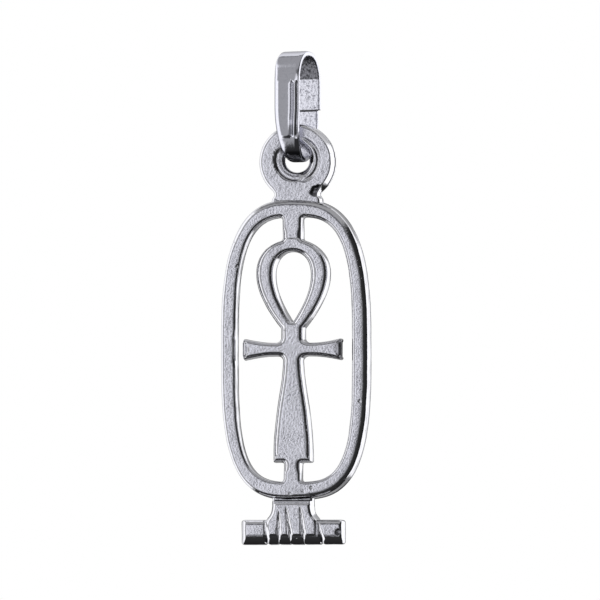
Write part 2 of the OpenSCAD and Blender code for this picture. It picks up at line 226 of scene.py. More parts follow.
# The sum starts a little above zero, because it divides each weight
whole = 1e-18
for lean in leans:
    whole = math_node(tent, "ADD", lean, whole)
light = (0, 0, 0, 1)
for lean, (_, _, _, stops) in zip(leans, tent_sides):
    share = math_node(tent, "DIVIDE", lean, whole)
    part = mix_colour(tent, 1.0, ramp(tent, turn, stops), share, "MULTIPLY")
    light = mix_colour(tent, 1.0, light, part, "ADD")
seen = add_node(tent, "ShaderNodeLightPath").outputs["Is Camera Ray"]
backdrop = mix_colour(tent, seen, light, (1.0, 1.0, 1.0, 1))
shine = add_node(tent, "ShaderNodeBackground", Color=backdrop, Strength=1.0)
tent.links.new(shine.outputs[0], add_node(tent, "ShaderNodeOutputWorld").inputs["Surface"])
bpy.context.scene.view_settings.view_transform = "Standard"
print("studio world with", len(tent.nodes), "nodes")

# %% [markdown]
# ## Floor
# The object hangs over a sheet of pale paper. Lit by the tent alone, the paper would look grey beside the
# white backdrop, so it glows a little. It isn't mirrored in the silver, which has the tent's cards for that.

# %% Floor
floor_drop, floor_size = 0.22, 3.0
floor_mesh = bpy.data.meshes.new("floor")
corners = [(a * floor_size, b * floor_size, -floor_drop) for a, b in ((-1, -1), (1, -1), (1, 1), (-1, 1))]
floor_mesh.from_pydata(corners, [], [(0, 1, 2, 3)])
floor = bpy.data.objects.new("floor", floor_mesh)
bpy.context.scene.collection.objects.link(floor)
floor.visible_glossy = False
print("floor", floor_drop, "m below the bail")

# %% Pale paper
paper = bpy.data.materials.new("pale_paper")
paper.use_nodes = True
sheet = paper.node_tree
paper_shader = sheet.nodes["Principled BSDF"]
paper_shader.inputs["Base Color"].default_value = (0.9, 0.9, 0.9, 1)
paper_shader.inputs["Roughness"].default_value = 0.9
paper_shader.inputs["Emission Color"].default_value = (1, 1, 1, 1)
paper_shader.inputs["Emission Strength"].default_value = 0.42
# The paper is clear from below, so that it doesn't shut out a low camera
from_below = add_node(sheet, "ShaderNodeNewGeometry").outputs["Backfacing"]
one_sided = add_node(sheet, "ShaderNodeMixShader", Fac=from_below)
clear = add_node(sheet, "ShaderNodeBsdfTransparent")
sheet.links.new(paper_shader.outputs[0], one_sided.inputs[1])
sheet.links.new(clear.outputs[0], one_sided.inputs[2])
sheet.links.new(one_sided.outputs[0], sheet.nodes["Material Output"].inputs["Surface"])
floor_mesh.materials.append(paper)
print("paper on the floor")

# %% [markdown]
# ## Shaping with distances
# A casting has no seams: the ring eye, neck, frame and ankh flow into each other with small fillets, and each
# edge has its own round-over. Booleans and bevels would give hard, even edges and break where fillets meet.
# With distances it is easy. A function gives, for any point in space, how far it lies outside the metal.
# Joining or cutting two forms is then the smaller or the larger of two such numbers, eased by the radius of
# the fillet.

# %% Distance helpers
def fused(a, b, radius):
    """Two forms joined with a fillet."""
    corner = np.hypot(np.maximum(radius - a, 0), np.maximum(radius - b, 0))
    return np.maximum(np.minimum(a, b), radius) - corner


def shared(a, b, radius):
    """What two forms share, with a round-over on the edge between them."""
    corner = np.hypot(np.maximum(a + radius, 0), np.maximum(b + radius, 0))
    return np.minimum(np.maximum(a, b), -radius) + corner


def eased(value, low, high):
    """A value that eases from 0 at low to 1 at high."""
    s = np.clip((value - low) / (high - low), 0, 1)
    return s * s * (3 - 2 * s)


def along_table(rows, s):
    """Smooth curve through a short table of [share, value] rows, read at s."""
    places, values = np.array(rows, float).T
    slopes = np.gradient(values, places)
    k = np.clip(np.searchsorted(places, s, side="right") - 1, 0, len(places) - 2)
    width = places[k + 1] - places[k]
    t = np.clip((s - places[k]) / width, 0, 1)
    return (
        values[k] * (2 * t**3 - 3 * t**2 + 1) + slopes[k] * width * (t**3 - 2 * t**2 + t)
        + values[k + 1] * (3 * t**2 - 2 * t**3) + slopes[k + 1] * width * (t**3 - t**2))


print("rounded corner of two forms:", round(float(shared(-0.1, -0.1, 0.3)), 3), "mm")

# %% [markdown]
# Outlines that no short formula gives a distance to, such as the drop-shaped loop, could be measured afresh
# at each point, but that is slow. So they are drawn once as dense lines and turned into charts: grids that
# hold the distance to the line at each of their points.

# %% Distance charts
chart_step = 0.03
chart_reach = 1.0
chart_margin = 0.4
chart_corner = pendant_low[[0, 2]] - chart_margin
chart_size = np.ceil((pendant_high[[0, 2]] + chart_margin - chart_corner) / chart_step).astype(int)
chart_x = chart_corner[0] + chart_step * np.arange(chart_size[0])
chart_z = chart_corner[1] + chart_step * np.arange(chart_size[1])


def drawn(outline):
    """Chart of the distance to a closed outline, below zero inside it."""
    far = np.full(chart_size, chart_reach)
    # A point lies inside where a line that comes from its left has met the outline an odd number of times
    turns = np.zeros(chart_size, int)
    for a, b in zip(outline, np.roll(outline, -1, axis=0)):
        low = np.floor((np.minimum(a, b) - chart_reach - chart_corner) / chart_step).astype(int).clip(0)
        high = np.ceil((np.maximum(a, b) + chart_reach - chart_corner) / chart_step).astype(int) + 1
        xs, zs = chart_x[low[0]:high[0], None], chart_z[None, low[1]:high[1]]
        line = b - a
        share = np.clip(((xs - a[0]) * line[0] + (zs - a[1]) * line[1]) / max(line @ line, 1e-12), 0, 1)
        gap = np.hypot(xs - a[0] - share * line[0], zs - a[1] - share * line[1])
        part = far[low[0]:high[0], low[1]:high[1]]
        np.minimum(part, gap, out=part)
        if a[1] != b[1]:
            rows = np.nonzero((chart_z >= min(a[1], b[1])) & (chart_z < max(a[1], b[1])))[0]
            meets = a[0] + (chart_z[rows] - a[1]) * line[0] / line[1]
            columns = np.ceil((meets - chart_corner[0]) / chart_step).astype(int).clip(0, chart_size[0] - 1)
            turns[columns, rows] += 1
    return np.where(np.cumsum(turns, axis=0) % 2 == 1, -far, far)


def read_chart(chart, x, z):
    """Smooth reading of a chart at any points, from the four by four grid points round each."""
    u, v = (x - chart_corner[0]) / chart_step, (z - chart_corner[1]) / chart_step
    i = np.clip(np.floor(u).astype(int), 1, chart_size[0] - 3)
    j = np.clip(np.floor(v).astype(int), 1, chart_size[1] - 3)
    weights = []
    for t in (np.clip(u - i, 0, 1), np.clip(v - j, 0, 1)):
        weights.append((
            -0.5 * t + t * t - 0.5 * t**3, 1 - 2.5 * t * t + 1.5 * t**3,
            0.5 * t + 2 * t * t - 1.5 * t**3, -0.5 * t * t + 0.5 * t**3))
    return sum(
        weights[0][a] * weights[1][b] * chart[i + a - 1, j + b - 1]
        for a in range(4) for b in range(4))


print("charts of", chart_size[0], "by", chart_size[1], "points")

# %% [markdown]
# ## Sizes of the casting
# They follow the CAD part. What its box gives is read from the frame, and the rest are the casting's own
# sizes in millimetres.

# %% Sizes
plate_t = 2 * pendant_high[1]
rim_w = pendant_high[0] - pendant_low[0]
rim_x = (pendant_high[0] + pendant_low[0]) / 2
eye_r, eye_t, eye_overlap = 2.8, 1.1, 0.06
eye_z = pendant_high[2] - eye_r
hole_z, hole_x, throat_r, mouth_r = eye_z + 0.13, -0.08, 0.89, 1.62
rim_h, rim_band = 22.0, 1.3
rim_top = eye_z - eye_r + eye_overlap
rim_z = rim_top - rim_h / 2
rim_bottom = rim_top - rim_h
window_x = rim_x - 0.08
ankh_x = window_x - 0.14
loop_top = rim_top - rim_band - 1.6
stem_bottom = rim_bottom + rim_band + 1.4
bar_bottom = pendant_low[2]
bar_h, bar_w = 1.8, 7.65
bar_top = bar_bottom + bar_h
print("rim from", round(rim_top, 2), "to", round(rim_bottom, 2), "mm")

# %% [markdown]
# ## Outlines
# Seen from the front, the frame is a cartouche, which is nearly a box with rounded ends. The ankh in it has
# a loop like a drop, arms and a stem that flare, and two struts that hold it. These lines could be drawn by
# hand as curves. Short formulas keep them symmetrical and easy to change, so each is written down, mostly as
# a half that is then mirrored, and drawn on a chart.

# %% Outlines of the frame and the drop
def signed_power(value, power):
    """A power that keeps the sign of its value."""
    return np.sign(value) * np.abs(value) ** power


def cartouche(x, half_w, half_h, upper_square, lower_square, points=720):
    """Outline of a tall box with rounded ends round the rim's middle."""
    t = np.linspace(0, 2 * np.pi, points, endpoint=False)
    power = 2 / np.where(np.sin(t) < 0, lower_square, upper_square)
    return np.column_stack([
        x + half_w * signed_power(np.cos(t), power),
        rim_z + half_h * signed_power(np.sin(t), power)])


def drop(half_w, top, tip, points=240):
    """Outline of a drop that is round at its top and pointed at its tip."""
    fullness = 0.77
    t = np.linspace(0, 2 * np.pi, points, endpoint=False)
    return np.column_stack([
        half_w * np.sin(t) * np.abs(np.sin(t / 2)) / fullness + ankh_x,
        (top + tip) / 2 - (top - tip) / 2 * np.cos(t)])


rim_chart = drawn(cartouche(rim_x, rim_w / 2, rim_h / 2, 2.85, 3.1))
window_chart = drawn(cartouche(window_x, rim_w / 2 - rim_band, rim_h / 2 - rim_band, 3.25, 3.6))
hole_chart = drawn(drop(1.29, loop_top - 0.95, rim_z + 2.05))
print("charts of the rim, the windows and the loop's hole")


# %% Outline helpers
def drawn_in(outline, by):
    """Closed outline moved inwards, along the mitre at each of its points."""
    before, after = outline - np.roll(outline, 1, axis=0), np.roll(outline, -1, axis=0) - outline
    sides = []
    for way in (before, after):
        way = way / np.maximum(np.linalg.norm(way, axis=1, keepdims=True), 1e-9)
        sides.append(np.column_stack([-way[:, 1], way[:, 0]]))
    mitre = (sides[0] + sides[1]) / (1 + (sides[0] * sides[1]).sum(1, keepdims=True))
    return outline + mitre * by


def round_cornered(outline, radius):
    """Chart of an outline whose outer corners are rounded."""
    return drawn(drawn_in(outline, radius)) - radius


def mirrored(half):
    """Whole outline from its right half, given as places to the right of the ankh's middle."""
    half = np.array(half)
    return np.vstack([[ankh_x, 0] + half * [-1, 1], ([ankh_x, 0] + half)[::-1]])


print("outline helpers ready")


# %% Outline of the ankh
def ankh_half():
    """Right half of the ankh, from the top of its loop to the middle of its foot."""
    loop_half, neck_half, neck_rise, fillet, waist, end = 2.75, 0.9, 1.5, 0.35, 0.5, 0.81
    stem_half, foot_half, arm_gap = 0.76, 1.475, 0.6
    arm_reach = rim_w / 2 - rim_band - arm_gap
    stem_top = rim_z - waist - fillet
    flare = [[0, 0], [0.25, 0.05], [0.6, 0.4], [1, 1]]
    spread = [[0, 0], [0.15, 0.12], [0.5, 0.66], [0.8, 0.96], [1, 1]]
    loop = drop(loop_half, loop_top, rim_z + 0.5) - [ankh_x, 0]
    side = [p for p in loop[::-1] if p[0] >= 0 and p[1] > rim_z + neck_rise]
    side.sort(key=lambda p: -p[1])
    quarter = [(math.cos(a), math.sin(a)) for a in np.linspace(0, math.pi / 2, 9)]
    s = np.linspace(0, 1, 24)
    arm = neck_half + fillet + (arm_reach - neck_half - fillet) * s
    rise = waist + (end - waist) * along_table(flare, s)
    stem = stem_half + (foot_half - stem_half) * along_table(spread, s)
    return [
        *side,
        *[(neck_half + fillet * (1 - c), rim_z + waist + fillet * (1 - d)) for c, d in quarter],
        *zip(arm, rim_z + rise),
        *zip(arm[::-1], rim_z - rise[::-1]),
        *[(stem_half + fillet * (1 - c), rim_z - waist - fillet * (1 - d)) for c, d in quarter[::-1]],
        *zip(stem, stem_top + (stem_bottom - stem_top) * s)]


ankh_chart = round_cornered(mirrored(ankh_half()), 0.14)
print("chart of the ankh from", 2 * len(ankh_half()), "points")


# %% Outlines of the struts and the lashing
def strut_half(half_w, top, low):
    """Right half of a strut."""
    return [(half_w, top), (half_w, low)]


def lashing_half():
    """Right half of the lashing, which fans out over the bar."""
    fan = [[0, 0], [0.36, 0], [0.44, 0.12], [0.5, 0.35], [0.56, 0.7], [0.62, 0.92], [0.7, 1], [1, 0.96]]
    tie_half, fan_out, foot_rise = 1.575, 0.475, 0.36
    s = np.linspace(0, 1, 60)
    top, foot = rim_bottom + rim_band / 2, bar_bottom + foot_rise
    return list(zip(tie_half + fan_out * along_table(fan, s), top + (foot - top) * s))


upper_strut = strut_half(0.78, rim_top - rim_band / 2, loop_top - 0.7)
lower_strut = strut_half(0.7, stem_bottom + 1.2, rim_bottom + rim_band / 2)
struts_chart = np.minimum(drawn(mirrored(upper_strut)), drawn(mirrored(lower_strut)))
lashing_chart = drawn(mirrored(lashing_half()))
strut_fillet, window_fillet = 0.14, 0.2
web_chart = fused(fused(ankh_chart, struts_chart, strut_fillet), -window_chart, window_fillet)
web_chart = np.maximum(web_chart, -hole_chart)
print("metal covers", round(float((np.maximum(web_chart, rim_chart) < 0).mean()), 2), "of the frame's chart")

# %% [markdown]
# The openwork's walls don't all lean alike: those that face left slope most, and the ends of the arms lean
# out a little. So two more charts say how each wall faces and where the ends of the arms are, and a third
# holds the height of the face.

# %% Charts of what the walls do
# How far each wall faces to the right, smoothed so that it turns gently
facing_chart = np.gradient(web_chart, chart_step, axis=0)
smoothing_rounds = 12
for _ in range(smoothing_rounds):
    for axis in (0, 1):
        neighbours = np.roll(facing_chart, 1, axis) + 2 * facing_chart + np.roll(facing_chart, -1, axis)
        facing_chart = neighbours / 4
# Which metal belongs to an end of an arm
arm_end_chart = eased(np.abs(chart_x[:, None] - ankh_x), 3.2, 3.5) * eased(-ankh_chart, -0.2, -0.1)
arm_end_chart = arm_end_chart * eased(-np.abs(chart_z - rim_z), -1.6, -1.3)
# The upper strut's face lies a little under the loop that it joins
strut_step = 0.045
strut_mask = eased(ankh_chart, -0.02, 0.05) * eased(-ankh_chart, -1.0, -0.2)
strut_mask = strut_mask * eased(chart_z, rim_z + 5, rim_z + 6)
face_chart = plate_t - strut_step * strut_mask
print("face height from", round(float(face_chart.min()), 3), "to", round(float(face_chart.max()), 3), "mm")

# %% [markdown]
# ## Unevenness of the casting
# No hand-finished casting is quite flat. Noise textures could shift the mesh afterwards, but then the fillets
# would stay too clean. So a few waves with seeded directions are added to the distances themselves.

# %% Unevenness
def waves(seed, count, length):
    """Directions and phases of a few waves of about that length, in mm."""
    draw = np.random.default_rng(seed)
    ways = draw.normal(size=(count, 3))
    pace = 2 * np.pi / length * draw.uniform(0.6, 1.4, (count, 1))
    ways *= pace / np.linalg.norm(ways, axis=1, keepdims=True)
    return ways, draw.uniform(0, 2 * np.pi, count)


def ripple(x, y, z, kind):
    """Gentle unevenness between about -1 and 1."""
    ways, phases = kind
    return sum(np.sin(k[0] * x + k[1] * y + k[2] * z + p) for k, p in zip(ways, phases)) / len(phases) ** 0.5


slow_waves = waves(4, 7, 2.6)
quick_waves = waves(9, 9, 0.8)


def unevenness(x, y, z, slow, quick):
    """Lift of the surface, in mm, from slow waves and quick ones of those heights."""
    return slow * ripple(x, y, z, slow_waves) + quick * ripple(x, y, z, quick_waves)


def depth_at(field, x, z):
    """How deep a point of the middle plane lies in a form, in mm."""
    return round(-float(field(*np.array([[x], [0.0], [z]]))[0]), 2)


print("waves:", len(slow_waves[1]), "slow and", len(quick_waves[1]), "quick")

# %% [markdown]
# ## Plate
# The cartouche and the ankh are one plate, pierced and then filed. Their walls lean in towards the face, by a
# different amount on each side, and the edges are rounder on the right. An extruded curve with a bevel would
# be even all round, so here the draft and the rounding follow the place and the way each wall faces.

# %% Plate
def plate_field(x, y, z):
    """The cartouche with its openwork ankh."""
    h = plate_t / 2 - y
    share = np.clip(h / plate_t, 0, 1)
    rim, web, face = (read_chart(chart, x, z) for chart in (rim_chart, web_chart, face_chart))
    of_walls = (ankh_chart, facing_chart, arm_end_chart)
    ankh_gap, facing, arm_end = (read_chart(chart, x, z) for chart in of_walls)
    lift = unevenness(x, y, z, 0.006, 0.0025)
    low = eased(rim_z - 6 - z, 0, 4)
    high = eased(z, rim_z + 6, rim_z + 9)
    to_right = eased(x, -1.5, 3)
    # The rim's outer edge is rounder on the right and at the top, and has a fine burr at its back
    rounding = 0.3 + 0.16 * to_right * (1 - 0.2 * low) + 0.16 * high * (1 - 0.6 * to_right)
    burr = 0.03 * (1 - eased(h, 0.1, 0.3))
    trim, outer_draft = 0.02, 0.04 + 0.1 * to_right
    outer = shared(rim + trim + outer_draft * share + lift - burr, h - plate_t - lift, rounding)
    # The ankh and its struts slope in further than the rim, most on the sides that face left
    of_rim = eased(ankh_gap, 0.3, 1.0)
    sideways = np.minimum(facing**2, 1)
    draft = (0.1 + 0.12 * sideways - 0.05 * np.clip(facing, -1, 1)) * (1 - 0.5 * of_rim)
    # The ends of the arms lean out a little instead
    arm_end = arm_end * eased(np.abs(facing), 0.7, 0.95)
    slant = draft * share**2 * (1 - arm_end) - 0.05 * share * arm_end
    rounding = 0.23 + 0.1 * sideways * (1 - of_rim) + 0.06 * arm_end
    inner = shared(web + slant + lift, h - face - lift, rounding)
    back_rounding = 0.06
    return shared(np.maximum(outer, inner), -h, back_rounding)


print("the stem's middle lies", depth_at(plate_field, ankh_x, rim_z - 3), "mm deep")

# %% [markdown]
# ## Eye
# The eye is a ring that was soldered on, and its hole was opened with a round file from both faces, so that
# its wall bulges like a torus. The photograph shows a ledge in the wall at the lower left, and a groove
# beside its mouth on the right. A torus could stand for the ring, but not for the ledge and the groove, so
# the wall is built from its own section.

# %% Hole of the eye
# Wall at the lower left: distance from the hole's middle and depth under the face
ledge = [
    [0.88, 0.6], [0.93, 0.38], [1.0, 0.25], [1.15, 0.2], [1.34, 0.17], [1.42, 0.18], [1.62, 0.03], [1.72, 0]]
ledge_start, ledge_end = ledge[0][0], ledge[-1][0]


def hole_wall(y, rho, to_low_left):
    """The wall of the hole, from its throat out to its mouth on both faces."""
    lip, lip_power, flatness = 0.03, 1.5, 0.75
    lip_r, lip_y = mouth_r + lip - throat_r, eye_t / 2 + lip
    across = np.maximum(throat_r + lip_r - rho, 0) / lip_r
    depth = np.abs(y) / lip_y
    size = (across**lip_power + depth**lip_power + 1e-9) ** (1 / lip_power)
    wall = (size - 1) * lip_r * flatness
    # At the lower left it goes down in a step with a ledge
    move = 0.01
    drop_in = along_table(ledge, np.clip(rho, ledge_start, ledge_end))
    steepness = (along_table(ledge, np.clip(rho + move, ledge_start, ledge_end)) - drop_in) / move
    stepped = (np.abs(y) - eye_t / 2 + drop_in) / np.sqrt(1 + steepness**2)
    stepped = np.where(rho < ledge_start, np.maximum(ledge_start - rho, stepped), stepped)
    wall = wall + (stepped - wall) * to_low_left * (y < 0)
    return np.where(across > 0, wall, np.abs(y) - lip_y)


print("the hole widens from", throat_r, "to", mouth_r, "mm in radius")


# %% Ring and neck
def eye_field(x, y, z):
    """The ring eye with its hole, and the neck that joins it to the rim."""
    lift = unevenness(x, y, z, 0.008, 0.003)
    neck_half, neck_low, neck_high = 1.62, rim_top - 0.65, eye_z - 1.5
    flare = 0.25 * eased(-z, -rim_top - 0.45, -rim_top + 0.1)
    neck = np.maximum(np.abs(x) - neck_half - flare, np.maximum(neck_low - z, z - neck_high))
    trim, burr, fillet = 0.03, 0.06 * eased(y, 0.2, 0.35), 0.25
    plan = fused(np.hypot(x, z - eye_z) - eye_r, neck, fillet) + trim - burr
    # The hole runs a little to the right behind its mouth
    shift = 0.1 * (1 - np.minimum(np.abs(y) / (eye_t / 2), 1))
    rho = np.hypot(x - hole_x - shift, z - hole_z)
    far = np.maximum(rho, 0.3)
    to_right = eased((x - hole_x) / far, 0.1, 0.75)
    to_low_left = eased(((hole_x - x) * 0.8 + (hole_z - z) * 0.6) / far, 0.15, 0.6)
    # On its right the eye has a steep side, and a shallow groove runs beside the mouth of the hole
    groove_w, groove_deep = 0.13, 0.13
    groove = groove_deep * to_right * np.exp(-(((rho - mouth_r - 0.03) / groove_w) ** 2)) * (y < 0)
    steep = 0.26 * to_right * np.clip(0.5 - y / eye_t, 0, 1) ** 1.5
    ring = shared(plan + steep + lift, np.abs(y) - eye_t / 2 - lift + groove, 0.34 - 0.28 * to_right)
    mouth_rounding = 0.08
    return shared(ring, hole_wall(y, rho, to_low_left), mouth_rounding)


print("the ring's left side lies", depth_at(eye_field, -eye_r + 0.5, eye_z), "mm deep")

# %% [markdown]
# ## Foot
# Under the rim a lashing fans out over a round-edged bar. On the real one the strands are no wires: they are
# cast on the bar and parted by five cuts of a graver. So the lashing is one form here too, and each cut is a
# wedge taken out of it, steep on its left and wide on its right.

# %% Shapes of the lashing
# Cuts between the strands: place across at the top and at the foot, and height of the top, as shares
strand_cuts = [
    [-0.99, -0.93, 0.56], [-0.46, -0.49, 0.77], [-0.2, -0.06, 0.92], [0.3, 0.42, 0.94], [0.97, 1.05, 0.52]]
# Height of the lashing's face over the plate's back: low under the rim, where a dark groove parts them
lashing_crown = [
    [0, 1.0], [0.05, 1.02], [0.1, 1.4], [0.13, 1.5], [0.2, 1.53], [0.4, 1.55], [0.6, 1.57], [1, 1.58]]
lashing_reach = 2.05


def strand_cut(x, z, cut):
    """Place beside a cut's line, its width and its depth."""
    x_top, x_low, top = cut
    low, high = bar_bottom + 0.1, rim_bottom - 0.35
    top_z, low_z = low + (high - low) * top, low + 0.1
    s = (top_z - z) / (top_z - low_z)
    widening, tip, end = np.clip(0.4 + 0.7 * s, 0.02, 1), eased(s, -0.08, 0.12), eased(s, 0.8, 1.1)
    width = 0.25 * widening * tip * (1 - 0.35 * end)
    offset = x - ankh_x - lashing_reach * (x_top + (x_low - x_top) * np.clip(s, 0, 1.2))
    return offset, width * np.where(offset > 0, 1.4, 0.7), 0.9 * width


print(len(strand_cuts), "cuts")


# %% Foot
def foot_field(x, y, z):
    """The bar, the lashing with its cuts, and the collar over it."""
    lift = unevenness(x, y, z, 0.008, 0.003)
    h = plate_t / 2 - y
    share = np.clip(h / plate_t, 0, 1)
    back_rounding = 0.08
    # The bar is rounder below than above
    rounding = 0.45 + 0.38 * eased(-z, -bar_top + 0.5, -bar_bottom - 0.6)
    side = np.where(x < ankh_x, 0.34, 0.2) * share**2
    middle_gap = np.abs(z - (bar_bottom + bar_top) / 2)
    length = shared(middle_gap - bar_h / 2 + lift, h - plate_t - lift, rounding)
    bar = shared(shared(length, np.abs(x - ankh_x) - bar_w / 2 + side + lift, 0.2), -h, back_rounding)
    # The lashing bends round the bar's underside as the bar itself does
    crown = along_table(lashing_crown, np.clip((rim_bottom - z) / (rim_bottom - bar_bottom - 0.44), 0, 1))
    outline = read_chart(lashing_chart, x, z) + 0.26 * share**2 + lift
    bent = shared(bar_bottom - 0.08 - z + lift, h - crown - lift, rounding)
    bundle = shared(shared(outline, bent, 0.18), -h, back_rounding)
    # The collar
    collar_drop, collar_half, collar_h = 0.29, 0.17, 1.42
    band = shared(np.abs(z - rim_bottom + collar_drop) - collar_half, h - collar_h, 0.1)
    band = np.maximum(band, np.maximum(outline - 0.02, 0.4 - h))
    foot = fused(fused(bar, bundle, 0.06), band, 0.03)
    bar_face = np.minimum(h - length + 0.02, plate_t + 0.02)
    for cut in strand_cuts:
        offset, width, deep = strand_cut(x, z, cut)
        # The outer cuts run down the bar beside the lashing
        face = h - bent if abs(cut[0]) < 0.8 else bar_face
        wedge = ((h - face + deep) * width - np.abs(offset) * deep) / np.hypot(width, deep + 1e-6)
        wedge = np.where(width < 0.002, -1, wedge)
        foot = shared(foot, wedge, 0.02)
    return foot


print("the bar's left half lies", depth_at(foot_field, ankh_x - 3, bar_bottom + bar_h / 2), "mm deep")

# %% [markdown]
# ## Marks
# Files, solder and years of wear left a few larger marks. They could be painted, but a dent catches the light
# in its own way, so each is pressed in with a ball of its own size.

# %% Marks and the whole casting
# Place in pixels of the photograph, radius and depth in mm; the first four also hold dirt
marks = [
    [316, 190.5, 0.5, 0.2], [318, 188, 0.36, 0.18], [311.5, 192, 0.3, 0.1], [338.5, 532, 0.34, 0.09],
    [290, 493.5, 0.12, 0.04], [303, 490.5, 0.12, 0.05], [311, 487, 0.13, 0.06], [309, 494, 0.11, 0.05],
    [359.3, 401, 0.12, 0.08], [237.6, 266, 0.16, 0.1], [238, 272, 0.14, 0.08], [274.5, 258, 0.13, 0.07],
    [276, 199, 0.2, 0.1]]
dirty_marks, eye_end, eye_face = 4, 205, -0.6


def mark_gap(x, y, z, mark):
    """How far a point lies outside the ball that pressed a mark into the face."""
    px, py, radius, depth = mark
    face_y = eye_face if py < eye_end else -plate_t / 2
    place_x, place_z = on_face(px, py, face_y)
    ball = (radius**2 + depth**2) / (2 * depth)
    rough = 0.15 * depth * ripple(1.7 * x, 1.7 * y, 1.7 * z, quick_waves)
    return np.sqrt((x - place_x) ** 2 + (y - face_y + ball - depth) ** 2 + (z - place_z) ** 2) - ball + rough


def casting(x, y, z):
    """How far a point lies outside the silver of the pendant, in mm."""
    neck_fillet, foot_fillet, mark_rounding = 0.07, 0.05, 0.02
    metal = fused(plate_field(x, y, z), eye_field(x, y, z), neck_fillet)
    metal = fused(metal, foot_field(x, y, z), foot_fillet)
    for mark in marks:
        metal = shared(metal, -mark_gap(x, y, z, mark), mark_rounding)
    return metal


print(len(marks), "marks")

# %% [markdown]
# ## From distances to a mesh
# The surface lies where the distance is zero. A grid of cells is laid through the block, each cell that the
# surface crosses gets one point, and neighbouring points are joined into four-sided faces. Then each point is
# pushed onto the surface exactly, and the shading normals are taken from the slope of the distance itself.

# %% Places where the surface crosses the grid
def both_ends(axis, others=slice(None)):
    """Slices of a grid that hold the near ends and the far ends of its edges along an axis."""
    near, far = [others] * 3, [others] * 3
    near[axis], far[axis] = slice(0, -1), slice(1, None)
    return tuple(near), tuple(far)


def crossings(values):
    """How often the surface crosses the edges of each cell, and the sum of the places where it does."""
    size = np.array(values.shape)
    total = np.zeros((*(size - 1), 3), np.float32)
    count = np.zeros(size - 1, np.int16)
    for axis in range(3):
        near, far = both_ends(axis)
        a, b = values[near], values[far]
        crossed = (a < 0) != (b < 0)
        share = np.where(crossed, a / np.where(a == b, 1, a - b), 0)
        second, third = (k for k in range(3) if k != axis)
        for u in (0, 1):
            for v in (0, 1):
                part = [slice(None)] * 3
                part[second] = slice(u, size[second] - 1 + u)
                part[third] = slice(v, size[third] - 1 + v)
                hit = crossed[tuple(part)]
                count += hit
                total[..., axis] += np.where(hit, share[tuple(part)], 0)
                total[..., second] += hit * u
                total[..., third] += hit * v
    return count, total


print("crossings of one cell:", crossings(np.array([[[-1.0, 1], [1, 1]], [[1, 1], [1, 1]]]))[0].item())


# %% Net of points and faces
def net_faces(inside, number):
    """Faces between the four cells round each edge that the surface crosses."""
    faces = []
    for axis in range(3):
        u, v = (axis + 1) % 3, (axis + 2) % 3
        near, far = both_ends(axis, slice(1, -1))
        places = np.argwhere(inside[near] != inside[far])
        leaving = inside[near][tuple(places.T)]
        places[:, [u, v]] += 1
        ring = []
        for du, dv in ((-1, -1), (0, -1), (0, 0), (-1, 0)):
            cell = places.copy()
            cell[:, u] += du
            cell[:, v] += dv
            ring.append(number[tuple(cell.T)])
        quads = np.column_stack(ring)
        # Where an edge enters the metal its face is turned over, so that all faces look outwards
        quads[~leaving] = quads[~leaving][:, ::-1]
        faces.append(quads)
    return np.vstack(faces)


def surface_net(field, low, high, cell):
    """Points and four-sided faces of the zero surface of a field, in mm."""
    axes = [np.arange(a - 2 * cell, b + 3 * cell, cell) for a, b in zip(low, high)]
    values = field(axes[0][:, None, None], axes[1][None, :, None], axes[2][None, None, :])
    count, total = crossings(values)
    used = count > 0
    number = np.full(used.shape, -1)
    number[used] = np.arange(used.sum())
    corner = np.array([places[0] for places in axes])
    points = corner + cell * (np.argwhere(used) + total[used] / count[used][:, None])
    return points, net_faces(values < 0, number)


ball_points, _ = surface_net(lambda x, y, z: np.sqrt(x**2 + y**2 + z**2) - 1, [-1] * 3, [1] * 3, 0.25)
print("a ball of 1 mm gets", len(ball_points), "points")


# %% Points pushed onto the surface
def slope(field, points, step=0.012):
    """Direction in which a field grows, at each point."""
    moves = np.eye(3) * step
    grown = np.column_stack([field(*(points + m).T) - field(*(points - m).T) for m in moves])
    return grown / (2 * step)


def settle(field, points, rounds=3, most=0.05):
    """Points pushed onto the zero surface of a field."""
    for _ in range(rounds):
        grown = slope(field, points)
        move = field(*points.T)[:, None] * grown / np.maximum((grown**2).sum(1, keepdims=True), 1e-6)
        length = np.linalg.norm(move, axis=1, keepdims=True)
        points = points - move * np.minimum(1, most / np.maximum(length, 1e-9))
    return points


net_cell = 0.084
points, quads = surface_net(casting, pendant_low, pendant_high, net_cell)
points = settle(casting, points)
grown = slope(casting, points)
normals = grown / np.linalg.norm(grown, axis=1, keepdims=True)
print("largest distance left:", round(float(np.abs(casting(*points.T)).max()), 3), "mm")

# %% Pendant mesh
pendant_mesh = bpy.data.meshes.new("pendant_silver")
pendant_mesh.from_pydata((points * MM).tolist(), [], quads.tolist())
pendant_mesh.update()
pendant_mesh.polygons.foreach_set("use_smooth", np.ones(len(quads), bool))
print("pendant mesh:", len(points), "points,", 2 * len(quads), "triangles")

# %% [markdown]
# ## Masks of the casting
# Where the cloth reaches, silver stays bright, and in hollows it goes dark. A material can find hollows with
# ambient occlusion, but that is slow and noisy. The distance knows how closed in a point is, so it is read a
# little way off the surface and stored on the mesh as a mask.

# %% Mask helpers
def write_mask(mesh, name, values):
    """Stores one number a point on a mesh, which a material can read."""
    layer = mesh.attributes.new(name, "FLOAT", "POINT")
    layer.data.foreach_set("value", np.clip(values, 0, 1).astype(np.float32))
    print("mask", name, "covers", round(float(np.clip(values, 0, 1).mean()), 3), "of the points")


def hollowness(field, points, normals, reach):
    """How much metal stands round a point: 0 on open ground, up to 1 deep in a corner."""
    return 1 - field(*(points + normals * reach).T) / reach


write_mask(pendant_mesh, "recess", hollowness(casting, points, normals, 0.25))
write_mask(pendant_mesh, "flat_face", eased(np.abs(normals[:, 1]), 0.88, 0.985))

